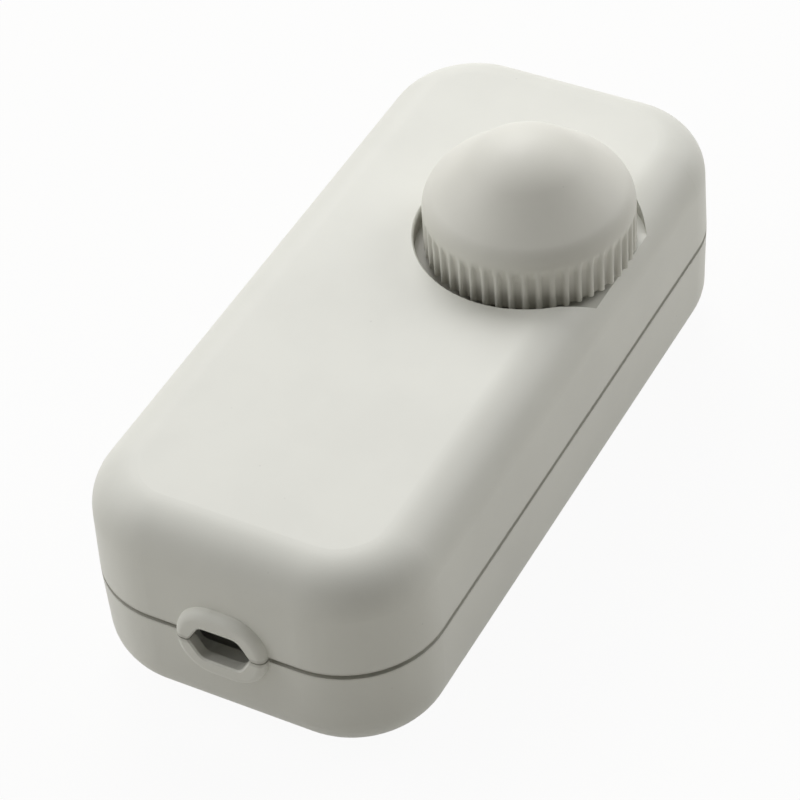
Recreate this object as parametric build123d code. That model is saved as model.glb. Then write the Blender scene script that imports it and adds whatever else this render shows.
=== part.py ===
from build123d import *
import os
from math import cos, radians, sin, tan

# In-line rotary dimmer for a table lamp, as fitted in the middle of a flat two-core lamp cord.
# Two moulded half shells carry a cord entry at each end. A domed, fluted knob sits in a round
# pocket near one end, set towards one long side so that a thumb reaches its rim over the shoulder.
# Millimetres. Origin: centre of the base. +X: along the cord, towards the knob end. +Z: up.

# Housing
housing_length = 88.0
housing_width = 40.0
lower_height = 13.2  # base to seam
upper_height = 13.2  # seam to top face
corner_radius = 11.0  # plan corners, at the seam
shoulder_radius = 5.4  # rounding of the top edge
base_radius = 5.6  # rounding of the bottom edge
draft_angle = 1.4
wall = 2.0
past = 1.0  # how far a cut runs past the face that it opens
seam_gap = 0.6  # shadow line between the half shells
lip_height = 1.4
lip_thickness = 0.9
lip_clearance = 0.1

# Cord entries, one half in each shell
entry_width = 7.4
entry_height = 4.6
entry_flat = 4.6  # width of the entry's level top and bottom
entry_corner = 1.2
entry_bevel = 0.2  # at its mouth
entry_land = 1.3  # length of the mouth, before the way widens inwards
entry_relief = 0.6  # how much wider it then is, on each side
collar_side = 1.55  # collar beyond the entry, each side
collar_rise = 2.2  # collar above and below the entry
collar_corner = 4.2
collar_reach = 1.1  # how far the collar stands out of the end wall
collar_round = 0.9
collar_taper = 8.0
collar_gap = 0.2  # between the two half collars

# Knob and its pocket
knob_end = 29.5  # from the housing's end to the knob's axis
knob_side = 0.55  # from the housing's long side to the knob's rim
knob_radius = 11.95
knob_skirt = 5.5  # height of the fluted band
knob_shoulder = 3.6  # rounding of the dome's lower edge
knob_slope = 48.5  # degrees by which the dome's straight flank faces upwards
knob_crown = 10.0  # radius of the dome's rounded top
knob_wall = 2.2
knob_gap = 0.65  # under the skirt
ridge_count = 48
ridge_height = 0.42
ridge_foot = 0.8  # width of a ridge where it leaves the skirt
ridge_crest = 0.3
ridge_sink = 0.02  # of the crests inside the dome's edge
ridge_phase = 4.5  # degrees
ridge_flare = 1.7  # height over which the band flares out to meet the dome
hub_radius = 5.0
pocket_clearance = 1.15
pocket_depth = 2.2
pocket_floor = 1.8
pocket_edge = 0.3
pocket_edge_lean = 15.0  # degrees at which its rounding runs out on the top face
shaft_clearance = 0.5
shaft_reach = 3.0  # of the shaft above the fluted band
shaft_room = 0.2  # over the shaft's end

# Fasteners: nominal radii, with threads left plain
housing_screw_end = 14.0  # from the housing's end
housing_screw_side = 8.8  # from its long side
housing_screw_radius = 1.45
housing_screw_head = 2.8
housing_screw_head_height = 2.0
housing_screw_length = 14.0
housing_screw_seat = 4.2  # head seat above the base
small_screw_radius = 1.2
small_screw_head = 2.3
small_screw_head_height = 1.5
board_screw_length = 5.0
clamp_screw_length = 7.5
thread_clearance = 0.05
hole_clearance = 0.2
screw_head_bevel = 0.35  # share of the head's height
screw_tip_bevel = 0.6  # share of the shank's radius
screw_slot = 0.5  # width of slot or recess, as a share of the shank's radius
screw_recess = 1.2  # length of a cross recess, as a share of the head's radius
tower_radius = 3.4
post_radius = 2.4

# Circuit board
board_end_gap = 12.5  # from the housing's end to the board
board_side_gap = 3.5
board_thickness = 1.6
board_standoff = 4.0
board_corner = 1.5
notch_clearance = 0.5
board_post_end = 4.0  # from the board's end
board_post_side = 4.2
part_gap = 0.5  # between neighbours on the board
lead_clearance = 0.08
lead_stub = 1.2  # lead length under the board
pin_root = 0.2  # how far a pin starts inside its own part
bend = 0.8  # outer radius of a bent sheet's corner, as a share of its thickness

# Cord clamps
clamp_end = 6.5  # from the housing's end
clamp_width = 5.0
clamp_thickness = 2.2
clamp_tunnel = 8.2
clamp_room = 0.35  # over the cord
clamp_screw_y = 8.8
clamp_ear = 2.3  # clamp beyond its screw
saddle_drop = 0.2  # saddle under the entry's lower face
rib = 1.2

# Terminal blocks
terminal_depth = 8.0
terminal_width = 10.6
terminal_height = 9.0
terminal_pitch = 5.0
terminal_chamfer = 1.6
cage_depth = 4.6
cage_width = 3.6
cage_height = 5.2
cage_fit = 0.05
wire_bore = 1.3
wire_height = 2.7  # wire bore above the board
terminal_screw_radius = 1.15
terminal_screw_head = 1.55
terminal_screw_head_height = 1.2
terminal_screw_length = 2.6
pin = 0.8  # square pins of the stamped parts

# Potentiometer with its mains switch underneath
pot_radius = 8.2
switch_height = 4.6
switch_wall = 0.8
wafer_thickness = 0.8
can_height = 5.0
can_wall = 0.6
shaft_radius = 3.0
shaft_flat = 1.0  # depth of the D flat
shaft_fit = 0.05
shaft_bevel = 0.4
rotor_lift = 0.3  # under the shaft's lower end
bushing_radius = 4.3
bushing_bevel = 0.3
bushing_gap = 0.3  # under the pocket floor
rotor_radius = 6.7
rotor_thickness = 1.5
brush_gap = 0.7
brush_thickness = 0.25
brush_angle = 50.0
brush_inset = 0.3  # from the rotor's rim
finger_length = 0.5
finger_width = 0.8
finger_spread = 0.45
finger_lift = 0.05  # over the track
track_radius = 5.4
track_width = 1.8
track_thickness = 0.1
track_angle = 300.0
pot_pin_pitch = 5.0
pot_pin_head = 0.4  # thickness of the rivet head on each pin
pot_pin_rim = 0.4  # head beyond the pin
pot_tab = 2.4
pot_tab_margin = 1.5  # wafer beyond its outer pins
cam_reach = 4.3
cam_width = 1.6
cam_height = 2.2
lever_radius = 5.9  # pivot of the switch lever, from the shaft
lever_half_length = 2.2
lever_width = 1.4
lever_height = 2.0
lever_throw = 16.0
pivot_radius = 0.6
blade_offset = 3.1
blade_shift = 0.6  # from the lever's pivot towards the shaft
blade_length = 1.8
blade_thickness = 0.4
blade_height = 2.6

# Triac and its heat sink
sink_length = 16.0
sink_width = 12.0
sink_thickness = 1.5
sink_upstand = 10.0
sink_shift = 0.4  # of its middle from the knob's axis, towards the terminals
triac_width = 10.0
triac_tab_length = 15.4
triac_tab_thickness = 1.3
triac_body_length = 9.0
triac_body_thickness = 4.4
triac_bevel = 0.5
triac_hole_from_end = 2.8
triac_lead_pitch = 2.54
triac_lead_reach = 2.9
triac_lead = 0.5  # thickness
triac_lead_rise = 1.0  # leads above the tab
triac_edge = 0.5  # from the tab to the edge of the heat sink
triac_screw_radius = 1.45
triac_screw_head = 2.8
triac_screw_head_height = 2.0
nut_radius = 3.0
nut_height = 2.2

# Fuse and clips
fuse_side = 3.2  # from the board's edge to the fuse's axis
fuse_radius = 2.5
fuse_length = 20.0
fuse_cap_length = 5.0
fuse_cap_wall = 0.15
fuse_cap_end = 0.3
clip_thickness = 0.4
clip_width = 3.6
clip_opening = 100.0
clip_foot = 0.6
clip_foot_width = 2.4
clip_fit = 0.02

# Choke, capacitors and small parts
choke_side = 8.5  # from the board's edge to the choke's axis
core_outer = 5.2
core_inner = 2.7
core_height = 5.4
wire_radius = 0.5
turn_offset = 1.2  # from the core to the middle of a turn, in wire radii
winding_lobes = 20
winding_gap = 60.0
choke_pin_spread = 1.9
choke_pin_inset = 0.7
film_cap_length = 10.5
film_cap_width = 5.0
film_cap_height = 11.0
film_cap_inset = 1.5  # of its leads from its ends
cap_corner = 0.6
timing_cap_offset = -3.5  # from the knob's axis, across the housing
timing_cap_width = 3.5
timing_cap_length = 7.2
timing_cap_height = 6.5
timing_cap_inset = 1.1
resistor_radius = 1.15
resistor_length = 6.3
resistor_pitch = 8.0
resistor_offset = -2.4  # from the heat sink's middle, across the housing
diac_offset = 3.7  # from the knob's axis, across the housing
diac_radius = 0.95
diac_length = 4.0
diac_pitch = 6.0
barrel_bevel = 0.3  # share of a small body's radius
lead_radius = 0.3
body_lift = 0.3  # small bodies above the board

# Places and heights that follow
knob_x = housing_length / 2 - knob_end
knob_y = -(housing_width / 2 - knob_side - knob_radius)
housing_screw_x = housing_length / 2 - housing_screw_end
housing_screw_y = housing_width / 2 - housing_screw_side
board_length = housing_length - 2 * board_end_gap
board_width = housing_width - 2 * board_side_gap
board_post_x = board_length / 2 - board_post_end
board_post_y = board_width / 2 - board_post_side
clamp_x = housing_length / 2 - clamp_end
terminal_x = knob_x + pot_radius + part_gap + terminal_depth / 2
row_start = -terminal_x + terminal_depth / 2 + part_gap  # behind the input terminal
pot_side = knob_x - pot_radius - pot_tab - part_gap  # beside the potentiometer's tab
sink_x = knob_x + sink_shift
sink_y = knob_y + pot_radius + part_gap + sink_width / 2
fuse_x = -board_post_x + small_screw_head + part_gap + fuse_length / 2
fuse_y = board_width / 2 - fuse_side
clip_inner = fuse_radius + fuse_cap_wall + clip_fit
clip_outer = clip_inner + clip_thickness
winding_outer = core_outer + turn_offset * wire_radius
winding_inner = core_inner - turn_offset * wire_radius
choke_x = row_start + winding_outer + wire_radius
choke_y = -(board_width / 2 - choke_side)
film_cap_x = row_start + film_cap_length / 2
film_cap_y = fuse_y - clip_outer - part_gap - film_cap_width / 2
timing_cap_x = pot_side - timing_cap_width / 2
timing_cap_y = knob_y + timing_cap_offset
seam_z = lower_height
top_z = lower_height + upper_height
board_z = wall + board_standoff
board_top = board_z + board_thickness
pocket_z = top_z - pocket_depth
pocket_radius = knob_radius + pocket_clearance
knob_bottom = pocket_z + knob_gap
knob_rim = knob_bottom + knob_skirt
flank = radians(knob_slope)
flank_foot = knob_radius - knob_shoulder * (1 - cos(flank))
flank_run = flank_foot - knob_crown * cos(flank)
flank_top = knob_rim + knob_shoulder * sin(flank) + flank_run / tan(flank)
crown_z = flank_top - knob_crown * sin(flank)  # centre of the rounded top
knob_top = crown_z + knob_crown
ridge_flank = (ridge_foot - ridge_crest) / 2
switch_top = board_top + switch_height
wafer_top = switch_top + wafer_thickness
can_top = wafer_top + can_height
bushing_top = pocket_z - pocket_floor - bushing_gap
shaft_bottom = board_top + switch_wall + rotor_lift
shaft_top = knob_rim + shaft_reach
lever_x = knob_x - lever_radius
screw_places = [(-housing_screw_x, -housing_screw_y), (housing_screw_x, housing_screw_y)]
board_screw_places = [(-board_post_x, board_post_y), (board_post_x, -board_post_y)]
clamp_screw_places = [(sx * clamp_x, sy * clamp_screw_y) for sx in (-1, 1) for sy in (-1, 1)]
standing = (Align.CENTER, Align.CENTER, Align.MIN)
hanging = (Align.CENTER, Align.CENTER, Align.MAX)


def rod(x, y, low, high, radius):
    """Upright cylinder from one height to another."""
    return Pos(x, y, low) * Cylinder(radius, high - low, align=standing)


def block(x, y, low, high, length, width):
    """Upright box on a centre, from one height to another."""
    return Pos(x, y, low) * Box(length, width, high - low, align=standing)


def plan(inset):
    """Outline of the housing at the seam, moved inwards."""
    return RectangleRounded(
        housing_length - 2 * inset, housing_width - 2 * inset, corner_radius - inset
    )


def half_block(height, inset, edge):
    """Half of the housing above the seam plane, drafted, with its far edge rounded."""
    body = extrude(plan(inset), amount=height, taper=draft_angle)
    return fillet(body.faces().sort_by(Axis.Z)[-1].edges(), edge)


def half_shell(height, edge):
    """Open shell that stands on the seam plane, short of it by half the shadow gap."""
    shell = half_block(height, 0, edge) - half_block(height - wall, wall, edge - wall)
    return shell - extrude(plan(-wall), amount=seam_gap / 2)


def entry_profile():
    """Six-sided mouth of the cord entry, seen along the cord, centred on the seam."""
    half = entry_height / 2
    outline = Polyline(
        (-entry_width / 2, 0),
        (-entry_flat / 2, half),
        (entry_flat / 2, half),
        (entry_width / 2, 0),
        (entry_flat / 2, -half),
        (-entry_flat / 2, -half),
        close=True,
    )
    face = make_face(outline)
    level = [v for v in face.vertices() if abs(v.Y) > half / 2]
    return fillet(level, entry_corner)


def collar(side):
    """Raised oval rim round the cord entry, grown from the outer half of the end wall."""
    root = housing_length / 2 - (wall - lip_thickness - lip_clearance)
    reach = housing_length / 2 + collar_reach
    spread = (reach - root) * tan(radians(collar_taper))
    rim = RectangleRounded(
        entry_width + 2 * (collar_side + spread),
        entry_height + 2 * (collar_rise + spread),
        collar_corner + spread,
    )
    body = extrude(Plane.YZ.offset(root) * rim, amount=reach - root, taper=collar_taper)
    body = fillet(body.faces().sort_by(Axis.X)[-1].edges(), collar_round)
    return Pos(0, 0, seam_z) * (body if side > 0 else mirror(body, Plane.YZ))


def entry_cut(side):
    """Way for the cord through the collar and the end wall, bevelled at its mouth."""
    inner = housing_length / 2 - wall - 1
    front = housing_length / 2 + collar_reach
    cut = extrude(Plane.YZ.offset(inner) * entry_profile(), amount=front + past - inner)
    mouth = Plane.YZ.offset(front - entry_bevel) * entry_profile()
    cut += extrude(mouth, amount=2 * entry_bevel, taper=-45)
    wider = RectangleRounded(
        entry_width + 2 * entry_relief, entry_height + 2 * entry_relief, entry_corner
    )
    cut += extrude(Plane.YZ.offset(inner) * wider, amount=front - entry_land - inner)
    return Pos(0, 0, seam_z) * (cut if side > 0 else mirror(cut, Plane.YZ))


def above_seam(shape):
    return split(shape, Plane.XY.offset(seam_z + collar_gap / 2), keep=Keep.TOP)


def below_seam(shape):
    return split(shape, Plane.XY.offset(seam_z - collar_gap / 2), keep=Keep.BOTTOM)


def upper_shell():
    outer = Pos(0, 0, seam_z) * half_block(upper_height, 0, shoulder_radius)
    shell = Pos(0, 0, seam_z) * half_shell(upper_height, shoulder_radius)
    rebate = plan(wall - lip_thickness - lip_clearance)
    shell -= Pos(0, 0, seam_z) * extrude(rebate, amount=lip_height + lip_clearance)
    # The knob's pocket: a thick floor under it, and a round well that runs out over the shoulder
    underside = pocket_z - pocket_floor
    shell += outer & rod(knob_x, knob_y, underside, top_z, pocket_radius + wall)
    shell -= rod(knob_x, knob_y, pocket_z, top_z + past, pocket_radius)
    shell -= rod(knob_x, knob_y, underside - past, pocket_z + past, shaft_radius + shaft_clearance)
    # Screw towers with a rib to the side wall
    for x, y in screw_places:
        rib_y = (y + (housing_width / 2 - wall / 2) * (1 if y > 0 else -1)) / 2
        rib_length = housing_width / 2 - wall / 2 - abs(y)
        shell += outer & rod(x, y, seam_z, top_z - wall / 2, tower_radius)
        shell += outer & block(
            x, rib_y, seam_z + lip_height + lip_clearance, top_z - wall / 2, rib, rib_length
        )
        shell -= rod(x, y, seam_z - past, thread_end + past, housing_screw_radius + thread_clearance)
    for side in (-1, 1):
        shell += above_seam(collar(side))
        shell -= entry_cut(side)
    return shell - pocket_rounding()


def pocket_rounding():
    """Flared cutter that rounds the well's mouth where it crosses the level top face."""
    lean = radians(pocket_edge_lean)
    foot_z = top_z - pocket_edge * cos(lean)
    lip = CenterArc(
        (pocket_radius + pocket_edge, foot_z), pocket_edge, 180, pocket_edge_lean - 90
    )
    rim = lip @ 1 + past * Vector(cos(lean), sin(lean))
    sides = [rim, (0, rim.Y), (0, foot_z), lip @ 0]
    edges = [lip, Line(lip @ 1, rim)]
    edges += [Line(a, b) for a, b in zip(sides, sides[1:])]
    cutter = revolve(make_face(Plane.XZ * Curve(edges)), Axis.Z)
    return Pos(knob_x, knob_y, 0) * cutter


thread_end = housing_screw_seat + housing_screw_length


def lower_shell():
    outer = Pos(0, 0, seam_z) * mirror(half_block(lower_height, 0, base_radius), Plane.XY)
    shell = Pos(0, 0, seam_z) * mirror(half_shell(lower_height, base_radius), Plane.XY)
    lip = plan(wall - lip_thickness) - plan(wall)
    shell += Pos(0, 0, seam_z - seam_gap) * extrude(lip, amount=seam_gap + lip_height)
    for x, y in screw_places:
        rib_y = (y + (housing_width / 2 - wall / 2) * (1 if y > 0 else -1)) / 2
        rib_length = housing_width / 2 - wall / 2 - abs(y)
        shell += outer & block(x, rib_y, wall / 2, seam_z - seam_gap, rib, rib_length)
        # The tower's wide foot carries the notched corner of the board
        shell += rod(x, y, wall / 2, board_z, tower_radius + rib)
        shell += rod(x, y, wall / 2, seam_z, tower_radius)
    for x, y in board_screw_places:
        shell += outer & rod(x, y, wall / 2, board_z, post_radius)
    for x, y in clamp_screw_places:
        shell += outer & rod(x, y, wall / 2, clamp_seat, post_radius)
    for side in (-1, 1):
        for across in (-1, 1):
            x = side * clamp_x + across * (clamp_width - rib) / 2
            shell += block(x, 0, wall / 2, saddle_z, rib, 2 * clamp_screw_y)
        shell += below_seam(collar(side))
        shell -= entry_cut(side)
    for x, y in screw_places:
        shell -= rod(x, y, -past, seam_z + past, housing_screw_radius + hole_clearance)
        shell -= rod(x, y, -past, housing_screw_seat, housing_screw_head + hole_clearance)
    for x, y in board_screw_places:
        depth = board_top - board_screw_length - 0.5
        shell -= rod(x, y, depth, board_z + past, small_screw_radius + thread_clearance)
    for x, y in clamp_screw_places:
        depth = clamp_seat + clamp_thickness - clamp_screw_length - 0.5
        shell -= rod(x, y, depth, seam_z, small_screw_radius + thread_clearance)
    return shell


saddle_z = seam_z - entry_height / 2 - saddle_drop
clamp_seat = saddle_z


def screw(radius, length, head_radius, head_height, slotted=False):
    """Pan-head screw, pointing down, with the head's seat at height 0."""
    head = Cylinder(head_radius, head_height, align=standing)
    head = chamfer(head.edges().sort_by(Axis.Z)[-1], head_height * screw_head_bevel)
    shank = Cylinder(radius, length, align=hanging)
    tip = shank.edges().sort_by(Axis.Z)[0]
    shank = chamfer(tip, radius * screw_tip_bevel)
    reach = 2 * (head_radius + past) if slotted else screw_recess * head_radius
    arm = Pos(0, 0, head_height) * Box(reach, radius * screw_slot, head_height)
    return head + shank - (arm if slotted else arm + Rot(0, 0, 90) * arm)


def housing_screws():
    one = screw(
        housing_screw_radius, housing_screw_length, housing_screw_head, housing_screw_head_height
    )
    return [Pos(x, y, housing_screw_seat) * Rot(180, 0, 0) * one for x, y in screw_places]


def board_screws():
    one = screw(small_screw_radius, board_screw_length, small_screw_head, small_screw_head_height)
    return [Pos(x, y, board_top) * one for x, y in board_screw_places]


def clamp_screws():
    one = screw(small_screw_radius, clamp_screw_length, small_screw_head, small_screw_head_height)
    return [Pos(x, y, clamp_seat + clamp_thickness) * one for x, y in clamp_screw_places]


def cord_clamp(side):
    """Hat-shaped strap over the cord, on two ears that are screwed to the lower shell's posts."""
    ear_top = clamp_seat + clamp_thickness
    tunnel_top = seam_z + entry_height / 2 + clamp_room
    half_ear = clamp_screw_y + clamp_ear
    half_tunnel = clamp_tunnel / 2
    half_hat = half_tunnel + clamp_thickness
    right = [
        (half_tunnel, tunnel_top),
        (half_tunnel, clamp_seat),
        (half_ear, clamp_seat),
        (half_ear, ear_top),
        (half_hat, ear_top),
        (half_hat, tunnel_top + clamp_thickness),
    ]
    left = [(-y, z) for y, z in reversed(right)]
    face = make_face(Polyline(*right, *left, close=True))
    strap = extrude(Plane.YZ.offset(-clamp_width / 2) * face, amount=clamp_width)
    crown = strap.edges().filter_by(Axis.X).group_by(Axis.Z)[-1]
    strap = fillet(crown, clamp_thickness * bend)
    for y in (-clamp_screw_y, clamp_screw_y):
        strap -= rod(0, y, clamp_seat - past, ear_top + past, small_screw_radius + hole_clearance)
    return Pos(side * clamp_x, 0, 0) * strap


def terminal_places():
    return [
        (side * terminal_x, across * terminal_pitch / 2, side)
        for side in (-1, 1)
        for across in (-1, 1)
    ]


def terminal_block(side):
    """Two-way screw terminal: wire mouths face the cord, screw wells open upwards."""
    x = side * terminal_x
    top = board_top + terminal_height
    body = block(x, 0, board_top, top, terminal_depth, terminal_width)
    outer_edge = body.edges().filter_by(Axis.Y).group_by(Axis.Z)[-1].sort_by(Axis.X)
    body = chamfer(outer_edge[-1] if side > 0 else outer_edge[0], terminal_chamfer)
    cage_room = cage_height + 2 * cage_fit
    for px, py, way in terminal_places():
        if way != side:
            continue
        body -= block(
            px, py, board_top - past, board_top + cage_room,
            cage_depth + 2 * cage_fit, cage_width + 2 * cage_fit,
        )
        body -= rod(px, py, board_top, top + past, terminal_screw_head + hole_clearance)
        mouth = Rot(0, 90, 0) * Cylinder(wire_bore + hole_clearance, terminal_depth)
        body -= Pos(px + way * terminal_depth / 2, py, board_top + wire_height) * mouth
    return body


def terminal_cages():
    """Brass cages with a wire bore, a screw thread above it and a pin through the board."""
    cages = []
    for x, y, side in terminal_places():
        cage = block(x, y, board_top, board_top + cage_height, cage_depth, cage_width)
        cage -= Pos(x, y, board_top + wire_height) * Rot(0, 90, 0) * Cylinder(
            wire_bore, cage_depth + 1
        )
        cage -= rod(
            x, y, board_top + wire_height, board_top + cage_height + past,
            terminal_screw_radius + thread_clearance,
        )
        cage += block(x, y, board_z - lead_stub, board_top + pin_root, pin, pin)
        cages.append(cage)
    return cages


def terminal_screws():
    one = screw(
        terminal_screw_radius, terminal_screw_length, terminal_screw_head,
        terminal_screw_head_height, slotted=True,
    )
    seat = board_top + cage_height + 2 * cage_fit
    return [Pos(x, y, seat) * one for x, y, side in terminal_places()]


def lead_holes():
    """Centres of every lead through the board, with each lead's half width."""
    square = [(x, y) for x, y, side in terminal_places()]
    square += pot_pin_places() + blade_places() + triac_lead_places() + clip_pin_places()
    round_ones = film_cap_leads() + timing_cap_leads() + choke_leads()
    for x, y, pitch in resistor_places() + [diac_place()]:
        round_ones += [(x, y - pitch / 2), (x, y + pitch / 2)]
    return square, round_ones


def circuit_board():
    board = extrude(
        RectangleRounded(board_length, board_width, board_corner), amount=board_thickness
    )
    board = Pos(0, 0, board_z) * board
    hole = pin / 2 + lead_clearance
    square, round_ones = lead_holes()
    cuts = [block(x, y, board_z - past, board_top + past, 2 * hole, 2 * hole) for x, y in square]
    cuts += [
        rod(x, y, board_z - past, board_top + past, lead_radius + lead_clearance)
        for x, y in round_ones
    ]
    cuts += [
        rod(x, y, board_z - past, board_top + past, small_screw_radius + hole_clearance)
        for x, y in board_screw_places
    ]
    cuts.append(
        rod(*triac_screw_place(), board_z - past, board_top + past, triac_screw_radius + hole_clearance)
    )
    reach = tower_radius + notch_clearance
    for x, y in screw_places:
        sx, sy = (1 if x > 0 else -1), (1 if y > 0 else -1)
        inner_x, inner_y = abs(x) - reach, abs(y) - reach
        length, width = board_length / 2 - inner_x, board_width / 2 - inner_y
        cuts.append(
            block(
                sx * (inner_x + length / 2 + 1), sy * (inner_y + width / 2 + 1),
                board_z - past, board_top + past, length + 2 * past, width + 2 * past,
            )
        )
    return board - cuts


def potentiometer_can():
    can = rod(knob_x, knob_y, wafer_top, can_top, pot_radius)
    can = fillet(can.edges().sort_by(Axis.Z)[-1], can_wall)
    can -= rod(knob_x, knob_y, wafer_top - past, can_top - can_wall, pot_radius - can_wall)
    return can - rod(knob_x, knob_y, can_top - 2 * past, can_top + past, shaft_radius + hole_clearance)


def potentiometer_bushing():
    sleeve = rod(knob_x, knob_y, can_top, bushing_top, bushing_radius)
    sleeve = chamfer(sleeve.edges().sort_by(Axis.Z)[-1], bushing_bevel)
    return sleeve - rod(knob_x, knob_y, can_top - past, bushing_top + past, shaft_radius + shaft_fit)


def potentiometer_shaft():
    """Moulded shaft with its rotor disc, the D end for the knob and the switch cam below."""
    shaft = rod(knob_x, knob_y, wafer_top, shaft_top, shaft_radius)
    shaft = chamfer(shaft.edges().sort_by(Axis.Z)[-1], shaft_bevel)
    flat_x = knob_x + shaft_radius + (past - shaft_flat) / 2
    shaft -= block(flat_x, knob_y, knob_bottom, shaft_top + past, shaft_flat + past, 3 * shaft_radius)
    rotor_z = wafer_top + brush_gap
    shaft += rod(knob_x, knob_y, rotor_z, rotor_z + rotor_thickness, rotor_radius)
    shaft += rod(knob_x, knob_y, shaft_bottom, rotor_z, shaft_radius - hole_clearance)
    cam = block(
        knob_x + cam_reach / 2, knob_y, shaft_bottom, shaft_bottom + cam_height,
        cam_reach, cam_width,
    )
    return shaft + cam


def ring_sector(inner, outer, low, high, start, sweep):
    """Part of a flat ring round the shaft axis."""
    ring = rod(knob_x, knob_y, low, high, outer) - rod(knob_x, knob_y, low - past, high + past, inner)
    if sweep >= 360:
        return ring
    far = 2 * outer
    points = [(0, 0)]
    steps = 6
    for i in range(steps + 1):
        a = radians(start + sweep * i / steps)
        points.append((far * cos(a), far * sin(a)))
    wedge = extrude(make_face(Polyline(*points, close=True)), amount=high - low + 2 * past)
    return ring & (Pos(knob_x, knob_y, low - past) * wedge)


def wiper_brush():
    """Sprung brass leaf under the rotor, with two fingers that run on the track."""
    top = wafer_top + brush_gap
    leaf = ring_sector(
        shaft_radius, rotor_radius - brush_inset, top - brush_thickness, top,
        -brush_angle / 2, brush_angle,
    )
    for step in (-finger_spread, finger_spread):
        leaf += block(
            knob_x + track_radius + step, knob_y, wafer_top + track_thickness + finger_lift, top,
            finger_length, finger_width,
        )
    return leaf


def track_wafer():
    wafer = rod(knob_x, knob_y, switch_top, wafer_top, pot_radius)
    tab_reach = pot_radius + pot_tab
    wafer += block(
        knob_x - tab_reach / 2, knob_y, switch_top, wafer_top,
        tab_reach, 2 * (pot_pin_pitch + pot_tab_margin),
    )
    wafer -= rod(knob_x, knob_y, switch_top - past, wafer_top + past, shaft_radius)
    hole = pin + 2 * lead_clearance
    for x, y in pot_pin_places():
        wafer -= block(x, y, switch_top - past, wafer_top + past, hole, hole)
    return wafer


def carbon_track():
    inner, outer = track_radius - track_width / 2, track_radius + track_width / 2
    return ring_sector(
        inner, outer, wafer_top, wafer_top + track_thickness, 180 - track_angle / 2, track_angle
    )


def pot_pin_places():
    x = knob_x - pot_radius - pot_tab / 2
    return [(x, knob_y + k * pot_pin_pitch) for k in (-1, 0, 1)]


def potentiometer_pins():
    pins = []
    for x, y in pot_pin_places():
        width = pin + 2 * pot_pin_rim
        head = block(x, y, wafer_top, wafer_top + pot_pin_head, width, width)
        pins.append(head + block(x, y, board_z - lead_stub, wafer_top, pin, pin))
    return pins


def blade_places():
    x = lever_x + blade_shift
    return [(x, knob_y - blade_offset), (x, knob_y + blade_offset)]


def switch_case():
    case = rod(knob_x, knob_y, board_top, switch_top, pot_radius)
    case -= rod(knob_x, knob_y, board_top + switch_wall, switch_top + past, pot_radius - switch_wall)
    case += rod(lever_x, knob_y, board_top + switch_wall, switch_top, pivot_radius)
    hole = pin + 2 * lead_clearance
    for x, y in blade_places():
        case -= block(x, y, board_top - past, board_top + switch_wall + past, hole, hole)
    return case


def switch_lever():
    """Rocking lever that the shaft's cam throws at the end of its turn."""
    plate = SlotOverall(2 * lever_half_length, lever_width) - Circle(pivot_radius + shaft_fit)
    lever = extrude(plate, amount=lever_height)
    return Pos(lever_x, knob_y, shaft_bottom) * Rot(0, 0, 90 - lever_throw / 2) * lever


def switch_contacts():
    blades = []
    for x, y in blade_places():
        low = board_top + switch_wall
        blade = block(x, y, low, low + blade_height, blade_length, blade_thickness)
        blades.append(blade + block(x, y, board_z - lead_stub, low + pin_root, pin, pin))
    return blades


def dome_outline(inset):
    """Half outline of the dome from its lower edge to its top, moved inwards by the inset."""
    shoulder_x = knob_radius - knob_shoulder
    lower = CenterArc((shoulder_x, knob_rim), knob_shoulder - inset, 0, knob_slope)
    upper = CenterArc((0, crown_z), knob_crown - inset, knob_slope, 90 - knob_slope)
    return [lower, Line(lower @ 1, upper @ 0), upper]


def half_section(path, inset):
    """Face between the axis, a path up the side and the dome's outline."""
    top = (0, knob_top - inset)
    sides = [top, (0, path[0][1]), *path, (knob_radius - inset, knob_rim)]
    edges = [Line(a, b) for a, b in zip(sides, sides[1:])]
    return make_face(Plane.XZ * Curve(edges + dome_outline(inset)))


def knob_ridges():
    """Upright grip ridges with a narrow crest, standing round the skirt."""
    root = knob_radius - 2 * ridge_height
    crest = knob_radius - ridge_sink
    section = Polyline(
        (root, -ridge_foot / 2 - ridge_flank),
        (crest, -ridge_crest / 2),
        (crest, ridge_crest / 2),
        (root, ridge_foot / 2 + ridge_flank),
        close=True,
    )
    ridge = extrude(make_face(section), amount=knob_skirt)
    half_pitch = 180 / ridge_count
    return [loc * ridge for loc in PolarLocations(0, ridge_count, start_angle=half_pitch)]


def dimmer_knob():
    """Domed cap with a fluted band, hollow inside, on a central hub with a D bore."""
    root = knob_radius - ridge_height
    body = revolve(
        half_section([(root, knob_bottom), (root, knob_rim - ridge_flare)], 0), Axis.Z
    )
    body += [Pos(0, 0, knob_bottom) * ridge for ridge in knob_ridges()]
    body = Rot(0, 0, ridge_phase) * body
    inner = half_section([(knob_radius - knob_wall, knob_bottom - past)], knob_wall)
    hollow = revolve(inner, Axis.Z) - rod(0, 0, knob_bottom - 2 * past, knob_top, hub_radius)
    body -= hollow
    bore = rod(0, 0, knob_bottom - past, shaft_top + shaft_room, shaft_radius + shaft_fit)
    flat_x = shaft_radius - shaft_flat + shaft_fit
    bore -= block(
        flat_x + shaft_radius / 2, 0, knob_bottom - past, shaft_top + past,
        shaft_radius, 3 * shaft_radius,
    )
    body -= bore
    return Pos(knob_x, knob_y, 0) * body


def triac_screw_place():
    x = sink_x + sink_length / 2 - triac_edge - triac_hole_from_end
    y = sink_y + sink_width / 2 - sink_thickness - triac_edge - triac_width / 2
    return x, y


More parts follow.
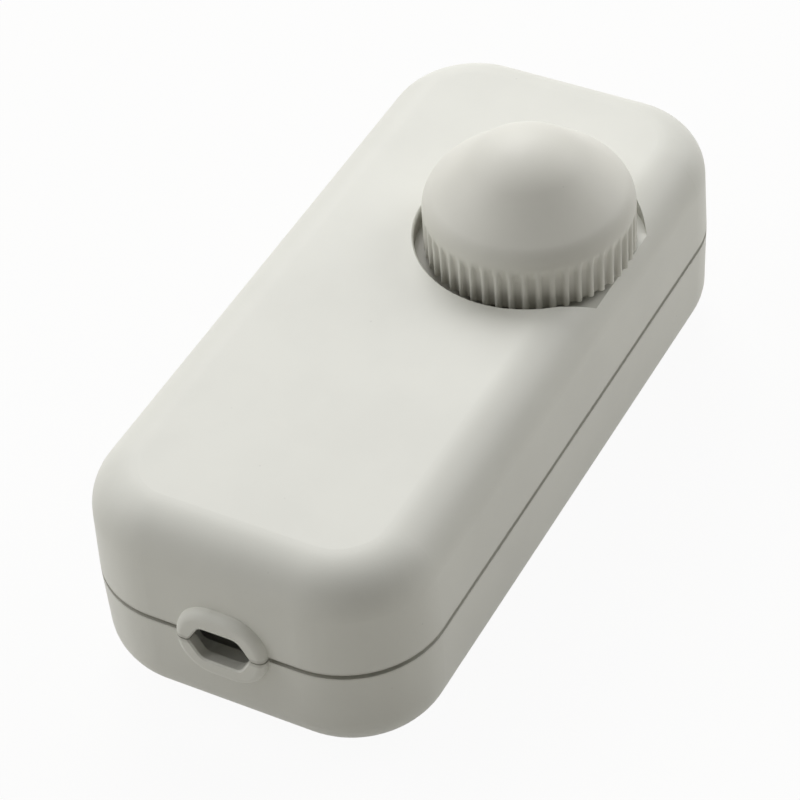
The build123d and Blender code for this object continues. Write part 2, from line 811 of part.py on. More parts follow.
def triac_lead_places():
    end = triac_screw_place()[0] + triac_hole_from_end - triac_tab_length
    y = triac_screw_place()[1]
    return [(end - triac_lead_reach, y + k * triac_lead_pitch) for k in (-1, 0, 1)]


def heat_sink():
    x0 = sink_x
    plate = block(x0, sink_y, board_top, board_top + sink_thickness, sink_length, sink_width)
    y = sink_y + (sink_width - sink_thickness) / 2
    plate += block(x0, y, board_top, board_top + sink_upstand, sink_length, sink_thickness)
    corner = plate.edges().filter_by(Axis.X).group_by(Axis.Z)[0].sort_by(Axis.Y)[-1]
    plate = fillet(corner, sink_thickness * bend)
    hole = triac_screw_radius + hole_clearance
    return plate - rod(*triac_screw_place(), board_top - past, board_top + sink_thickness + past, hole)


def triac_tab():
    """Tinned copper tab with the three leads, bent down into the board."""
    hx, hy = triac_screw_place()
    low = board_top + sink_thickness
    far = hx + triac_hole_from_end
    tab = block(
        far - triac_tab_length / 2, hy, low, low + triac_tab_thickness,
        triac_tab_length, triac_width,
    )
    tab -= rod(hx, hy, low - past, low + triac_tab_thickness + past, triac_screw_radius + hole_clearance)
    lead_z = low + triac_tab_thickness + triac_lead_rise
    leads = []
    for x, y in triac_lead_places():
        run = far - triac_tab_length - x + triac_lead
        lead = block(x + run / 2, y, lead_z, lead_z + triac_lead, run, pin)
        lead += block(x, y, board_z - lead_stub, lead_z + triac_lead, triac_lead, pin)
        leads.append(lead)
    return [tab, *leads]


def triac_body():
    hx, hy = triac_screw_place()
    low = board_top + sink_thickness + triac_tab_thickness
    end = hx + triac_hole_from_end - triac_tab_length
    body = block(
        end + triac_body_length / 2, hy, low, low + triac_body_thickness - triac_tab_thickness,
        triac_body_length, triac_width,
    )
    body = chamfer(body.faces().sort_by(Axis.Z)[-1].edges(), triac_bevel)
    seat = low + triac_lead_rise
    for x, y in triac_lead_places():
        body -= block(end, y, seat, seat + triac_lead, 2 * triac_lead, pin)
    return body


def triac_screw():
    seat = board_top + sink_thickness + triac_tab_thickness
    length = seat - board_z + nut_height + 0.5
    one = screw(triac_screw_radius, length, triac_screw_head, triac_screw_head_height)
    return Pos(*triac_screw_place(), seat) * one


def triac_nut():
    hexagon = RegularPolygon(nut_radius, 6) - Circle(triac_screw_radius + thread_clearance)
    return Pos(*triac_screw_place(), board_z - nut_height) * extrude(hexagon, amount=nut_height)


def fuse_height():
    return board_top + clip_foot + clip_thickness + fuse_radius + fuse_cap_wall


def along_x(shape, x, y, z):
    return Pos(x, y, z) * Rot(0, 90, 0) * shape


def fuse_tube():
    return along_x(Cylinder(fuse_radius, fuse_length - 2 * fuse_cap_end), fuse_x, fuse_y, fuse_height())


def cap_places():
    reach = (fuse_length - fuse_cap_length) / 2
    return [fuse_x - reach, fuse_x + reach]


def fuse_caps():
    """Plated cups pushed over the ends of the glass."""
    caps = []
    for x, way in zip(cap_places(), (-1, 1)):
        cup = along_x(
            Cylinder(fuse_radius + fuse_cap_wall, fuse_cap_length), x, fuse_y, fuse_height()
        )
        caps.append(cup - fuse_tube())
    return caps


def clip_pin_places():
    return [(x, fuse_y) for x in cap_places()]


def fuse_clips():
    """Sprung half rings that grip the caps, each on a foot with one pin."""
    mouth = radians(clip_opening / 2)
    far = 2 * clip_outer
    wedge = make_face(
        Polyline((0, 0), (far * sin(mouth), far), (-far * sin(mouth), far), close=True)
    )
    ring = Circle(clip_outer) - Circle(clip_inner) - wedge
    clips = []
    for x in cap_places():
        hoop = extrude(Plane.YZ * ring, amount=clip_width / 2, both=True)
        clip = Pos(x, fuse_y, fuse_height()) * hoop
        foot_top = fuse_height() - clip_inner - clip_thickness / 2
        clip += block(x, fuse_y, board_top, foot_top, clip_width, clip_foot_width)
        clip += block(x, fuse_y, board_z - lead_stub, board_top + pin_root, pin, pin)
        clips.append(clip)
    return clips


def choke_leads():
    x = choke_x + core_outer - choke_pin_inset
    return [(x, choke_y - choke_pin_spread), (x, choke_y + choke_pin_spread)]


def choke_core():
    ring = Circle(core_outer) - Circle(core_inner)
    core = extrude(ring, amount=core_height)
    return Pos(choke_x, choke_y, board_top + 2 * wire_radius) * core


def choke_winding():
    """Close turns of enamelled wire round the ring, open where the leads go down."""
    low = board_top
    high = low + core_height + 4 * wire_radius
    sleeve = Circle(winding_outer) - Circle(winding_inner)
    lobe = Circle(wire_radius)
    sleeve += [loc * lobe for loc in PolarLocations(winding_outer, winding_lobes)]
    body = Pos(choke_x, choke_y, low) * extrude(sleeve, amount=high - low)
    half = radians(winding_gap / 2)
    far = 2 * core_outer
    sector = make_face(
        Polyline((0, 0), (far * cos(half), far * sin(half)),
                 (far * cos(half), -far * sin(half)), close=True)
    )
    body -= Pos(choke_x, choke_y, low - past) * extrude(sector, amount=high - low + 2 * past)
    body -= choke_core()
    return body


def choke_pins():
    return [
        rod(x, y, board_z - lead_stub, board_top + 2 * wire_radius, lead_radius)
        for x, y in choke_leads()
    ]


def film_cap_leads():
    reach = film_cap_length / 2 - film_cap_inset
    return [(film_cap_x - reach, film_cap_y), (film_cap_x + reach, film_cap_y)]


def boxed_capacitor(x, y, length, width, height, leads):
    """Resin-filled box with small feet and two wire leads."""
    body = block(x, y, board_top + body_lift, board_top + height, length, width)
    body = fillet(body.edges().filter_by(Axis.Z), cap_corner)
    for fx, fy in leads:
        body += rod(fx, fy, board_z - lead_stub, board_top + body_lift + pin_root, lead_radius)
    return body


def film_capacitor():
    return boxed_capacitor(
        film_cap_x, film_cap_y, film_cap_length, film_cap_width, film_cap_height,
        film_cap_leads(),
    )


def timing_cap_leads():
    reach = timing_cap_length / 2 - timing_cap_inset
    return [(timing_cap_x, timing_cap_y - reach), (timing_cap_x, timing_cap_y + reach)]


def timing_capacitor():
    return boxed_capacitor(
        timing_cap_x, timing_cap_y, timing_cap_width, timing_cap_length, timing_cap_height,
        timing_cap_leads(),
    )


def resistor_places():
    first_x = triac_lead_places()[0][0] - triac_lead / 2 - part_gap - resistor_radius
    second_x = first_x - 2 * resistor_radius - part_gap
    third_x = sink_x + sink_length / 2 + part_gap + resistor_radius
    side_y = sink_y + resistor_offset
    third_y = terminal_width / 2 + part_gap + lead_radius + resistor_pitch / 2
    return [
        (first_x, side_y, resistor_pitch),
        (second_x, side_y, resistor_pitch),
        (third_x, third_y, resistor_pitch),
    ]


def diac_place():
    return pot_side - diac_radius, knob_y + diac_offset, diac_pitch


def axial_part(x, y, pitch, radius, length):
    """Small barrel lying along Y, with its wire leads bent down into the board."""
    z = board_top + body_lift + radius
    barrel = Rot(90, 0, 0) * Cylinder(radius, length)
    barrel = Pos(x, y, z) * chamfer(barrel.edges(), radius * barrel_bevel)
    wire = Pos(x, y, z) * Rot(90, 0, 0) * Cylinder(lead_radius, pitch)
    top = z + lead_radius
    legs = [rod(x, y + s * pitch / 2, board_z - lead_stub, top, lead_radius) for s in (-1, 1)]
    return barrel + wire + legs


def resistors():
    return [axial_part(*place, resistor_radius, resistor_length) for place in resistor_places()]


def diac():
    return axial_part(*diac_place(), diac_radius, diac_length)


pieces = {
    "upper_shell": upper_shell(),
    "lower_shell": lower_shell(),
    "housing_screws": housing_screws(),
    "dimmer_knob": dimmer_knob(),
    "cord_clamp_in": cord_clamp(-1),
    "cord_clamp_out": cord_clamp(1),
    "clamp_screws": clamp_screws(),
    "circuit_board": circuit_board(),
    "board_screws": board_screws(),
    "terminal_block_in": terminal_block(-1),
    "terminal_block_out": terminal_block(1),
    "terminal_cages": terminal_cages(),
    "terminal_screws": terminal_screws(),
    "potentiometer_can": potentiometer_can(),
    "potentiometer_bushing": potentiometer_bushing(),
    "potentiometer_shaft": potentiometer_shaft(),
    "potentiometer_pins": potentiometer_pins(),
    "wiper_brush": wiper_brush(),
    "track_wafer": track_wafer(),
    "carbon_track": carbon_track(),
    "switch_case": switch_case(),
    "switch_lever": switch_lever(),
    "switch_contacts": switch_contacts(),
    "heat_sink": heat_sink(),
    "triac_tab": triac_tab(),
    "triac_body": triac_body(),
    "triac_screw": triac_screw(),
    "triac_nut": triac_nut(),
    "fuse_tube": fuse_tube(),
    "fuse_caps": fuse_caps(),
    "fuse_clips": fuse_clips(),
    "choke_core": choke_core(),
    "choke_winding": choke_winding(),
    "choke_pins": choke_pins(),
    "film_capacitor": film_capacitor(),
    "timing_capacitor": timing_capacitor(),
    "resistors": resistors(),
    "diac": diac(),
}

os.makedirs("parts", exist_ok=True)
for name, piece in pieces.items():
    shape = Compound(children=piece) if isinstance(piece, list) else piece
    export_step(shape, f"parts/{name}.step")
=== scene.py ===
import math

import bmesh
import bpy
from mathutils import Matrix, Vector


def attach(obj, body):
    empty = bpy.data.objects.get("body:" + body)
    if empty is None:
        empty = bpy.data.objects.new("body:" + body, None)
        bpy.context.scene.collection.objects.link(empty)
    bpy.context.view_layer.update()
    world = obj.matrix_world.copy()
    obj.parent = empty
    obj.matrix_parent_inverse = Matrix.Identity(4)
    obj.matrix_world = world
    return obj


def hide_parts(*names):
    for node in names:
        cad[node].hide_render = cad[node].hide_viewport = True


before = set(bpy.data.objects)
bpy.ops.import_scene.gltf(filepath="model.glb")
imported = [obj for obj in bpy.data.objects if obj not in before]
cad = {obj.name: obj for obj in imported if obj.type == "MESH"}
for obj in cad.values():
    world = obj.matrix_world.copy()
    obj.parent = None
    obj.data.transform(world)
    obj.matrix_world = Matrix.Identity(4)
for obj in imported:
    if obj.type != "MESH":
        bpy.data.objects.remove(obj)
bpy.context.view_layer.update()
mm = 0.001  # the dictionaries below hold millimetres, unless a note says otherwise
fullTurn = 2 * math.pi
knobCentre = (14.5, -7.5)
knobRadius = 11.95
seamHeight = 13.2
print("frame loaded with", len(cad), "nodes")


# Small helpers for node trees

def addNode(tree, kind, **settings):
    made = tree.nodes.new(kind)
    for name, value in settings.items():
        setattr(made, name, value)
    return made


def feed(tree, socket, value):
    if isinstance(value, bpy.types.NodeSocket):
        tree.links.new(value, socket)
    else:
        socket.default_value = value


def maths(tree, operation, *values):
    made = addNode(tree, "ShaderNodeMath", operation=operation)
    for socket, value in zip(made.inputs, values):
        feed(tree, socket, value)
    return made.outputs[0]


def smoothStep(tree, value, low, high, outLow=0.0, outHigh=1.0):
    made = addNode(tree, "ShaderNodeMapRange", interpolation_type="SMOOTHSTEP")
    for socket, given in zip(made.inputs, (value, low, high, outLow, outHigh)):
        feed(tree, socket, given)
    return made.outputs[0]


def mixColors(tree, factor, first, second, **settings):
    made = addNode(tree, "ShaderNodeMix", data_type="RGBA", **settings)
    for place, value in ((0, factor), (6, first), (7, second)):  # the sockets that mix colours
        feed(tree, made.inputs[place], value)
    return made.outputs[2]


def newGroup(name, kind, inputs, outputs):
    group = bpy.data.node_groups.new(name, kind)
    for label, socketType, default in inputs:
        socket = group.interface.new_socket(label, in_out="INPUT", socket_type=socketType)
        if default is not None:
            socket.default_value = default
    for label, socketType in outputs:
        group.interface.new_socket(label, in_out="OUTPUT", socket_type=socketType)
    start = addNode(group, "NodeGroupInput")
    end = addNode(group, "NodeGroupOutput")
    return group, start.outputs, end.inputs


# Shader groups, shared by several finishes

noiseMiddle = 0.5
grainMix = {"detail": 2.0, "pitScale": 0.6, "pitShare": 0.5, "glossSwing": 0.12}
driftMix = {"detail": 3.0, "none": 0.35, "full": 0.7, "largestSpeck": 0.045}
drawnMix = {"detail": 3.0, "glossSwing": 0.35}
shadeLineDetail = 3.0


def makeMouldGrain():  # fine spark-eroded texture of a moulding, in two sizes of grain
    group, given, out = newGroup(
        "mouldGrain", "ShaderNodeTree",
        [("Grain Size", "NodeSocketFloat", 0.15 * mm), ("Depth", "NodeSocketFloat", 0.5)],
        [("Height", "NodeSocketFloat"), ("Gloss Shift", "NodeSocketFloat")],
    )
    place = addNode(group, "ShaderNodeTexCoord").outputs["Object"]
    coarse = addNode(group, "ShaderNodeTexNoise")
    feed(group, coarse.inputs["Vector"], place)
    feed(group, coarse.inputs["Scale"], maths(group, "DIVIDE", 1.0, given["Grain Size"]))
    feed(group, coarse.inputs["Detail"], grainMix["detail"])
    pits = addNode(group, "ShaderNodeTexVoronoi", feature="SMOOTH_F1")
    feed(group, pits.inputs["Vector"], place)
    feed(group, pits.inputs["Scale"], maths(group, "DIVIDE", grainMix["pitScale"], given["Grain Size"]))
    mixed = maths(group, "MULTIPLY_ADD", pits.outputs["Distance"], grainMix["pitShare"],
                  coarse.outputs["Fac"])
    feed(group, out["Height"], maths(group, "MULTIPLY", mixed, given["Depth"]))
    shift = maths(group, "SUBTRACT", coarse.outputs["Fac"], noiseMiddle)
    feed(group, out["Gloss Shift"], maths(group, "MULTIPLY", shift, grainMix["glossSwing"]))
    return group


def makeToneDrift():  # slow drift of colour over a surface, and a few small specks in it
    group, given, out = newGroup(
        "toneDrift", "ShaderNodeTree",
        [("Color", "NodeSocketColor", (0.8, 0.8, 0.8, 1)), ("Darker", "NodeSocketFloat", 0.94),
         ("Patch Size", "NodeSocketFloat", 6 * mm), ("Speck Spacing", "NodeSocketFloat", 3 * mm),
         ("Speck Strength", "NodeSocketFloat", 0.0)],
        [("Color", "NodeSocketColor")],
    )
    place = addNode(group, "ShaderNodeTexCoord").outputs["Object"]
    cloud = addNode(group, "ShaderNodeTexNoise")
    feed(group, cloud.inputs["Vector"], place)
    feed(group, cloud.inputs["Scale"], maths(group, "DIVIDE", 1.0, given["Patch Size"]))
    feed(group, cloud.inputs["Detail"], driftMix["detail"])
    mask = smoothStep(group, cloud.outputs["Fac"], driftMix["none"], driftMix["full"])
    cells = addNode(group, "ShaderNodeTexVoronoi")
    feed(group, cells.inputs["Vector"], place)
    feed(group, cells.inputs["Scale"], maths(group, "DIVIDE", 1.0, given["Speck Spacing"]))
    chosen = addNode(group, "ShaderNodeSeparateColor")
    feed(group, chosen.inputs[0], cells.outputs["Color"])
    size = maths(group, "MULTIPLY", chosen.outputs[0], driftMix["largestSpeck"])
    speck = maths(group, "LESS_THAN", cells.outputs["Distance"], size)
    mask = maths(group, "MULTIPLY_ADD", speck, given["Speck Strength"], mask)
    shade = addNode(group, "ShaderNodeCombineColor")
    for socket in shade.inputs[:3]:
        feed(group, socket, given["Darker"])
    feed(group, out["Color"], mixColors(group, mask, given["Color"], shade.outputs[0],
                                        blend_type="MULTIPLY", clamp_factor=False))
    return group


def makeDrawnMetal():  # fine parallel scratches, stretched along one axis
    group, given, out = newGroup(
        "drawnMetal", "ShaderNodeTree",
        [("Stretch", "NodeSocketVector", (1.0, 1.0, 12.0)), ("Line Size", "NodeSocketFloat", 0.08 * mm)],
        [("Height", "NodeSocketFloat"), ("Gloss Shift", "NodeSocketFloat")],
    )
    place = addNode(group, "ShaderNodeTexCoord").outputs["Object"]
    squeezed = addNode(group, "ShaderNodeVectorMath", operation="DIVIDE")
    feed(group, squeezed.inputs[0], place)
    feed(group, squeezed.inputs[1], given["Stretch"])
    lines = addNode(group, "ShaderNodeTexNoise")
    feed(group, lines.inputs["Vector"], squeezed.outputs[0])
    feed(group, lines.inputs["Scale"], maths(group, "DIVIDE", 1.0, given["Line Size"]))
    feed(group, lines.inputs["Detail"], drawnMix["detail"])
    feed(group, out["Height"], lines.outputs["Fac"])
    shift = maths(group, "SUBTRACT", lines.outputs["Fac"], noiseMiddle)
    feed(group, out["Gloss Shift"], maths(group, "MULTIPLY", shift, drawnMix["glossSwing"]))
    return group


def makePaintedShadeLine():  # broken dark line along one height: painted shade where two mouldings meet
    group, given, out = newGroup(
        "paintedShadeLine", "ShaderNodeTree",
        [("Height", "NodeSocketFloat", 0.0), ("Half Width", "NodeSocketFloat", 0.3 * mm),
         ("Softness", "NodeSocketFloat", 0.2 * mm), ("Speck Size", "NodeSocketFloat", 0.8 * mm)],
        [("Mask", "NodeSocketFloat")],
    )
    place = addNode(group, "ShaderNodeTexCoord").outputs["Object"]
    split = addNode(group, "ShaderNodeSeparateXYZ")
    feed(group, split.inputs[0], place)
    away = maths(group, "ABSOLUTE", maths(group, "SUBTRACT", split.outputs[2], given["Height"]))
    specks = addNode(group, "ShaderNodeTexNoise")
    feed(group, specks.inputs["Vector"], place)
    feed(group, specks.inputs["Scale"], maths(group, "DIVIDE", 1.0, given["Speck Size"]))
    feed(group, specks.inputs["Detail"], shadeLineDetail)
    wander = maths(group, "MULTIPLY", specks.outputs["Fac"], given["Softness"])
    inner = maths(group, "SUBTRACT", given["Half Width"], wander)
    outer = maths(group, "ADD", given["Half Width"], given["Softness"])
    feed(group, out["Mask"], smoothStep(group, away, inner, outer, 1.0, 0.0))
    return group


mouldGrain = makeMouldGrain()
toneDrift = makeToneDrift()
drawnMetal = makeDrawnMetal()
paintedShadeLine = makePaintedShadeLine()


# Finishes

def srgb(red, green, blue):  # 0 to 255 as seen on a screen, to the linear values of a shader
    def linear(level):
        level /= 255
        return level / 12.92 if level < 0.04045 else ((level + 0.055) / 1.055) ** 2.4
    return (linear(red), linear(green), linear(blue), 1.0)


# How far the painted shade of a crevice covers each point, from the lines and hollows of its finish
def shadeMask(tree, shade):
    place = addNode(tree, "ShaderNodeTexCoord").outputs["Object"]
    split = addNode(tree, "ShaderNodeSeparateXYZ")
    feed(tree, split.inputs[0], place)
    total = 0.0
    for height, halfWidth, softness, strength in shade.get("lines", []):
        line = addNode(tree, "ShaderNodeGroup", node_tree=paintedShadeLine)
        for label, value in (("Height", height), ("Half Width", halfWidth), ("Softness", softness)):
            feed(tree, line.inputs[label], value * mm)
        total = maths(tree, "MAXIMUM", total, maths(tree, "MULTIPLY", line.outputs[0], strength))
    for hollow in shade.get("hollows", []):  # round or oval hollow about a line along one axis
        sides = [axis for axis in range(3) if axis != hollow["axis"]]
        squares = []
        for axis, middle, half in zip(sides, hollow["centre"], hollow["half"]):
            offset = maths(tree, "SUBTRACT", split.outputs[axis], middle * mm)
            share = maths(tree, "DIVIDE", offset, half * mm)
            squares.append(maths(tree, "MULTIPLY", share, share))
        away = maths(tree, "SQRT", maths(tree, "ADD", *squares))
        mask = smoothStep(tree, away, hollow["inside"], 1.0, hollow["strength"], 0.0)
        for axis, none, full in hollow["limits"]:
            along = split.outputs[axis]
            along = maths(tree, "ABSOLUTE", along) if hollow.get("bothEnds") else along
            mask = maths(tree, "MULTIPLY", mask, smoothStep(tree, along, none * mm, full * mm))
        total = maths(tree, "MAXIMUM", total, mask)
    return total


plainLook = {  # what a finish has where it names nothing else
    "rough": 0.5, "darker": 0.95, "patch": 8, "specks": 0.0, "bump": 0.3, "depth": 0.02, "clear": 0.0,
    "grain": 0.15, "metal": False, "stretch": (1.0, 1.0, 12.0), "line": 0.08,
}


def finishOf(name, ownLook):
    look = {**plainLook, **ownLook}
    material = bpy.data.materials.new(name)
    material.use_nodes = True
    tree = material.node_tree
    shader = tree.nodes["Principled BSDF"]
    drift = addNode(tree, "ShaderNodeGroup", node_tree=toneDrift)
    feed(tree, drift.inputs["Color"], look["color"])
    feed(tree, drift.inputs["Darker"], look["darker"])
    feed(tree, drift.inputs["Patch Size"], look["patch"] * mm)
    feed(tree, drift.inputs["Speck Strength"], look["specks"])
    color = drift.outputs["Color"]
    if "shade" in look:
        color = mixColors(tree, shadeMask(tree, look["shade"]), color, look["shade"]["color"])
    feed(tree, shader.inputs["Base Color"], color)
    metal = look["metal"]
    texture = addNode(tree, "ShaderNodeGroup", node_tree=drawnMetal if metal else mouldGrain)
    if metal:
        feed(tree, texture.inputs["Stretch"], look["stretch"])
        feed(tree, texture.inputs["Line Size"], look["line"] * mm)
        shader.inputs["Metallic"].default_value = 1.0
    else:
        feed(tree, texture.inputs["Grain Size"], look["grain"] * mm)
    rough = maths(tree, "ADD", texture.outputs["Gloss Shift"], look["rough"])
    feed(tree, shader.inputs["Roughness"], rough)
    bump = addNode(tree, "ShaderNodeBump")
    bump.inputs["Strength"].default_value = look["bump"]
    bump.inputs["Distance"].default_value = look["depth"] * mm
    feed(tree, bump.inputs["Height"], texture.outputs["Height"])
    feed(tree, shader.inputs["Normal"], bump.outputs[0])
    shader.inputs["Transmission Weight"].default_value = look["clear"]
    return material


# A hollow lies about its axis (0 is x, 1 is y, 2 is z). Each limit is an axis, the place where the
# shade is gone and the place where it is full.
housingShade = {
    "color": srgb(98, 90, 68),
    "lines": [(seamHeight, 0.4, 0.3, 0.26)],  # the seam: height, half width, softness, strength
    "hollows": [  # the cord ways, and the pocket round the knob
        {"axis": 0, "centre": (0, seamHeight), "half": (4.6, 3.4), "inside": 0.94, "strength": 0.2,
         "limits": [(0, 45.0, 44.8)], "bothEnds": True},
        {"axis": 2, "centre": knobCentre, "half": (13.2, 13.2), "inside": 0.993, "strength": 0.45,
         "limits": [(2, 26.3, 25.4), (2, 23.9, 24.1), (1, -17.5, -14.0), (0, 24.0, 18.0)]},
    ],
}
knobShade = {
    "color": srgb(110, 106, 92),
    "hollows": [{"axis": 2, "centre": knobCentre, "half": (knobRadius, knobRadius), "inside": 0.95,
                 "strength": 0.6, "limits": [(2, 29.6, 24.9)]}],
}
looks = {
    "housingPlastic": {"color": srgb(226, 226, 219), "rough": 0.52, "grain": 0.16, "bump": 0.45,
                       "darker": 0.97, "patch": 11, "specks": 3.0, "shade": housingShade},
    "knobPlastic": {"color": srgb(224, 223, 215), "rough": 0.52, "grain": 0.1, "bump": 0.12,
                    "darker": 0.97, "patch": 7, "specks": 2.0, "shade": knobShade},
    "blackPlastic": {"color": srgb(38, 38, 40), "rough": 0.45, "grain": 0.12, "bump": 0.3},
    "greyNylon": {"color": srgb(188, 190, 188), "rough": 0.5, "grain": 0.2, "bump": 0.3},
    "greenTerminal": {"color": srgb(40, 120, 78), "rough": 0.35, "grain": 0.12, "bump": 0.2},
    "boardLaminate": {"color": srgb(196, 160, 96), "rough": 0.55, "grain": 0.3, "bump": 0.3,
                      "darker": 0.82, "patch": 3},
    "phenolicSheet": {"color": srgb(120, 76, 44), "rough": 0.5, "grain": 0.2, "darker": 0.8, "patch": 2},
    "zincSteel": {"color": srgb(196, 199, 202), "rough": 0.34, "metal": True, "line": 0.05},
    "tinnedCopper": {"color": srgb(205, 205, 202), "rough": 0.4, "metal": True, "line": 0.08},
    "brass": {"color": srgb(206, 170, 100), "rough": 0.3, "metal": True, "line": 0.06},
    "sinkAluminium": {"color": srgb(205, 206, 208), "rough": 0.42, "metal": True,
                      "stretch": (12.0, 1.0, 1.0), "line": 0.1},
    "carbonFilm": {"color": srgb(26, 26, 27), "rough": 0.6, "grain": 0.08},
    "epoxyBlack": {"color": srgb(40, 40, 42), "rough": 0.6, "grain": 0.1, "bump": 0.4},
    "ironPowder": {"color": srgb(176, 170, 92), "rough": 0.5, "grain": 0.2, "bump": 0.4},
    "enamelledCopper": {"color": srgb(184, 98, 52), "rough": 0.28, "metal": True,
                        "stretch": (1.0, 1.0, 6.0), "line": 0.2},
    "filmCapCase": {"color": srgb(224, 190, 70), "rough": 0.35, "grain": 0.15, "bump": 0.2},
    "timingCapCase": {"color": srgb(158, 52, 38), "rough": 0.3, "grain": 0.2, "bump": 0.25},
    "resistorLacquer": {"color": srgb(208, 184, 146), "rough": 0.45, "grain": 0.2, "bump": 0.3},
    "diacLacquer": {"color": srgb(58, 84, 150), "rough": 0.25, "grain": 0.2, "bump": 0.2},
    "fuseGlass": {"color": srgb(236, 242, 242), "rough": 0.04, "clear": 1.0, "bump": 0.02, "grain": 1.5},
    "nickelPlate": {"color": srgb(212, 211, 206), "rough": 0.22, "metal": True, "line": 0.05},
}
finish = {name: finishOf(name, look) for name, look in looks.items()}
print("finishes made:", len(finish))

cadFinish = {
    "housingPlastic": ["upper_shell", "lower_shell"],
    "knobPlastic": ["dimmer_knob"],
    "blackPlastic": ["potentiometer_shaft", "switch_case"],
    "greyNylon": ["cord_clamp_in", "cord_clamp_out", "switch_lever"],
    "greenTerminal": ["terminal_block_in", "terminal_block_out"],
    "boardLaminate": ["circuit_board"],
    "phenolicSheet": ["track_wafer"],
    "zincSteel": ["housing_screws", "clamp_screws", "board_screws", "terminal_screws",
                  "potentiometer_can", "triac_screw", "triac_nut"],
    "tinnedCopper": ["potentiometer_pins", "triac_tab", "choke_pins"],
    "brass": ["terminal_cages", "potentiometer_bushing", "wiper_brush", "switch_contacts"],
    "sinkAluminium": ["heat_sink"],
    "carbonFilm": ["carbon_track"],
    "epoxyBlack": ["triac_body"],
    "ironPowder": ["choke_core"],
    "enamelledCopper": ["choke_winding"],
    "filmCapCase": ["film_capacitor"],
    "timingCapCase": ["timing_capacitor"],
    "resistorLacquer": ["resistors"],
    "diacLacquer": ["diac"],
    "fuseGlass": ["fuse_tube"],
    "nickelPlate": ["fuse_caps", "fuse_clips"],
}
for name, members in cadFinish.items():
    for member in members:
        cad[member].data.materials.clear()
        cad[member].data.materials.append(finish[name])
print("finishes given to the CAD nodes")


# Pieces grown from node trees

softEdge = 50  # degrees up to which an edge is shaded smooth
screwEdge = 35


def growPiece(name, tree, values, base, body, nodes, sharp=softEdge):
    host = bpy.data.objects.new(name + "Host", base)
    bpy.context.scene.collection.objects.link(host)
    modifier = host.modifiers.new("shape", "NODES")
    modifier.node_group = tree
    for socket in tree.interface.items_tree:
        if socket.in_out == "INPUT" and socket.name in values:
            modifier[socket.identifier] = values[socket.name]
    grown = host.evaluated_get(bpy.context.evaluated_depsgraph_get())
    mesh = bpy.data.meshes.new_from_object(grown)
    host.modifiers.clear()
    bpy.data.objects.remove(host)
    mesh.materials.clear()
    mesh.materials.append(values["Material"])
    mesh.polygons.foreach_set("material_index", [0] * len(mesh.polygons))
    mesh.shade_smooth()
    mesh.set_sharp_from_angle(angle=math.radians(sharp))
    piece = bpy.data.objects.new(name, mesh)
    bpy.context.scene.collection.objects.link(piece)
    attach(piece, body)
    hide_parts(*nodes)
    print(name, "grown with", len(mesh.polygons), "faces")
    return piece


def closeTree(tree, out, geometry, material):
    solid = addNode(tree, "GeometryNodeRealizeInstances")
    feed(tree, solid.inputs[0], geometry)
    paint = addNode(tree, "GeometryNodeSetMaterial")
    feed(tree, paint.inputs["Geometry"], solid.outputs[0])
    feed(tree, paint.inputs["Material"], material)
    feed(tree, out["Geometry"], paint.outputs[0])


def vector(tree, *parts):
    made = addNode(tree, "ShaderNodeCombineXYZ")
    for socket, part in zip(made.inputs, parts):
        feed(tree, socket, part)
    return made.outputs[0]


def arc(middle, radius, start, sweep, steps):
    angles = [math.radians(start + sweep * step / steps) for step in range(steps + 1)]
    return [(middle[0] + radius * math.cos(turn), middle[1] + radius * math.sin(turn)) for turn in angles]


def meshOf(name, made):
    bmesh.ops.recalc_face_normals(made, faces=made.faces)
    mesh = bpy.data.meshes.new(name)
    made.to_mesh(mesh)
    made.free()
    return mesh


def turned(name, outline, columns, start):  # closed solid, turned from an outline
    made = bmesh.new()
    rings = []
    for radius, height in outline:
        count = 1 if radius == 0 else columns
        turns = [math.radians(start) + fullTurn * step / columns for step in range(count)]
        rings.append([made.verts.new((radius * mm * math.cos(turn), radius * mm * math.sin(turn),
                                      height * mm)) for turn in turns])
    for lower, upper in zip(rings, rings[1:]):
        for step in range(columns):
            after = (step + 1) % columns
            corners = [lower[step % len(lower)], lower[after % len(lower)],
                       upper[after % len(upper)], upper[step % len(upper)]]
            made.faces.new(list(dict.fromkeys(corners)))
    return meshOf(name, made)


# Knob: domed cap turned from one outline, with rounded grip ridges round its skirt

knob = {
    "centre": knobCentre, "radius": knobRadius, "bottom": 24.85, "rim": 30.35, "lip": 0.12,
    "shoulder": 3.6, "slope": 48.5, "crown": 10.0, "crownHeight": 29.192, "wall": 2.2,
    "hub": 5.0, "bore": 3.05, "flat": 2.05, "boreTop": 33.55,
    "ridges": 48, "ridgeColumns": 14, "ridgePhase": -3.0, "grooveDepth": 0.46,
    "crestShare": 0.16, "footShare": 0.64, "fadeFrom": 28.7, "fadeTo": 30.8,
    "skirtRises": (0.8, 1.8, 2.8, 3.5), "fadeRows": 9, "fadeRise": 0.21,  # rows of faces up the skirt
    "shoulderSteps": 14, "domeSteps": 20, "innerShoulderSteps": 4, "innerDomeSteps": 12,
}


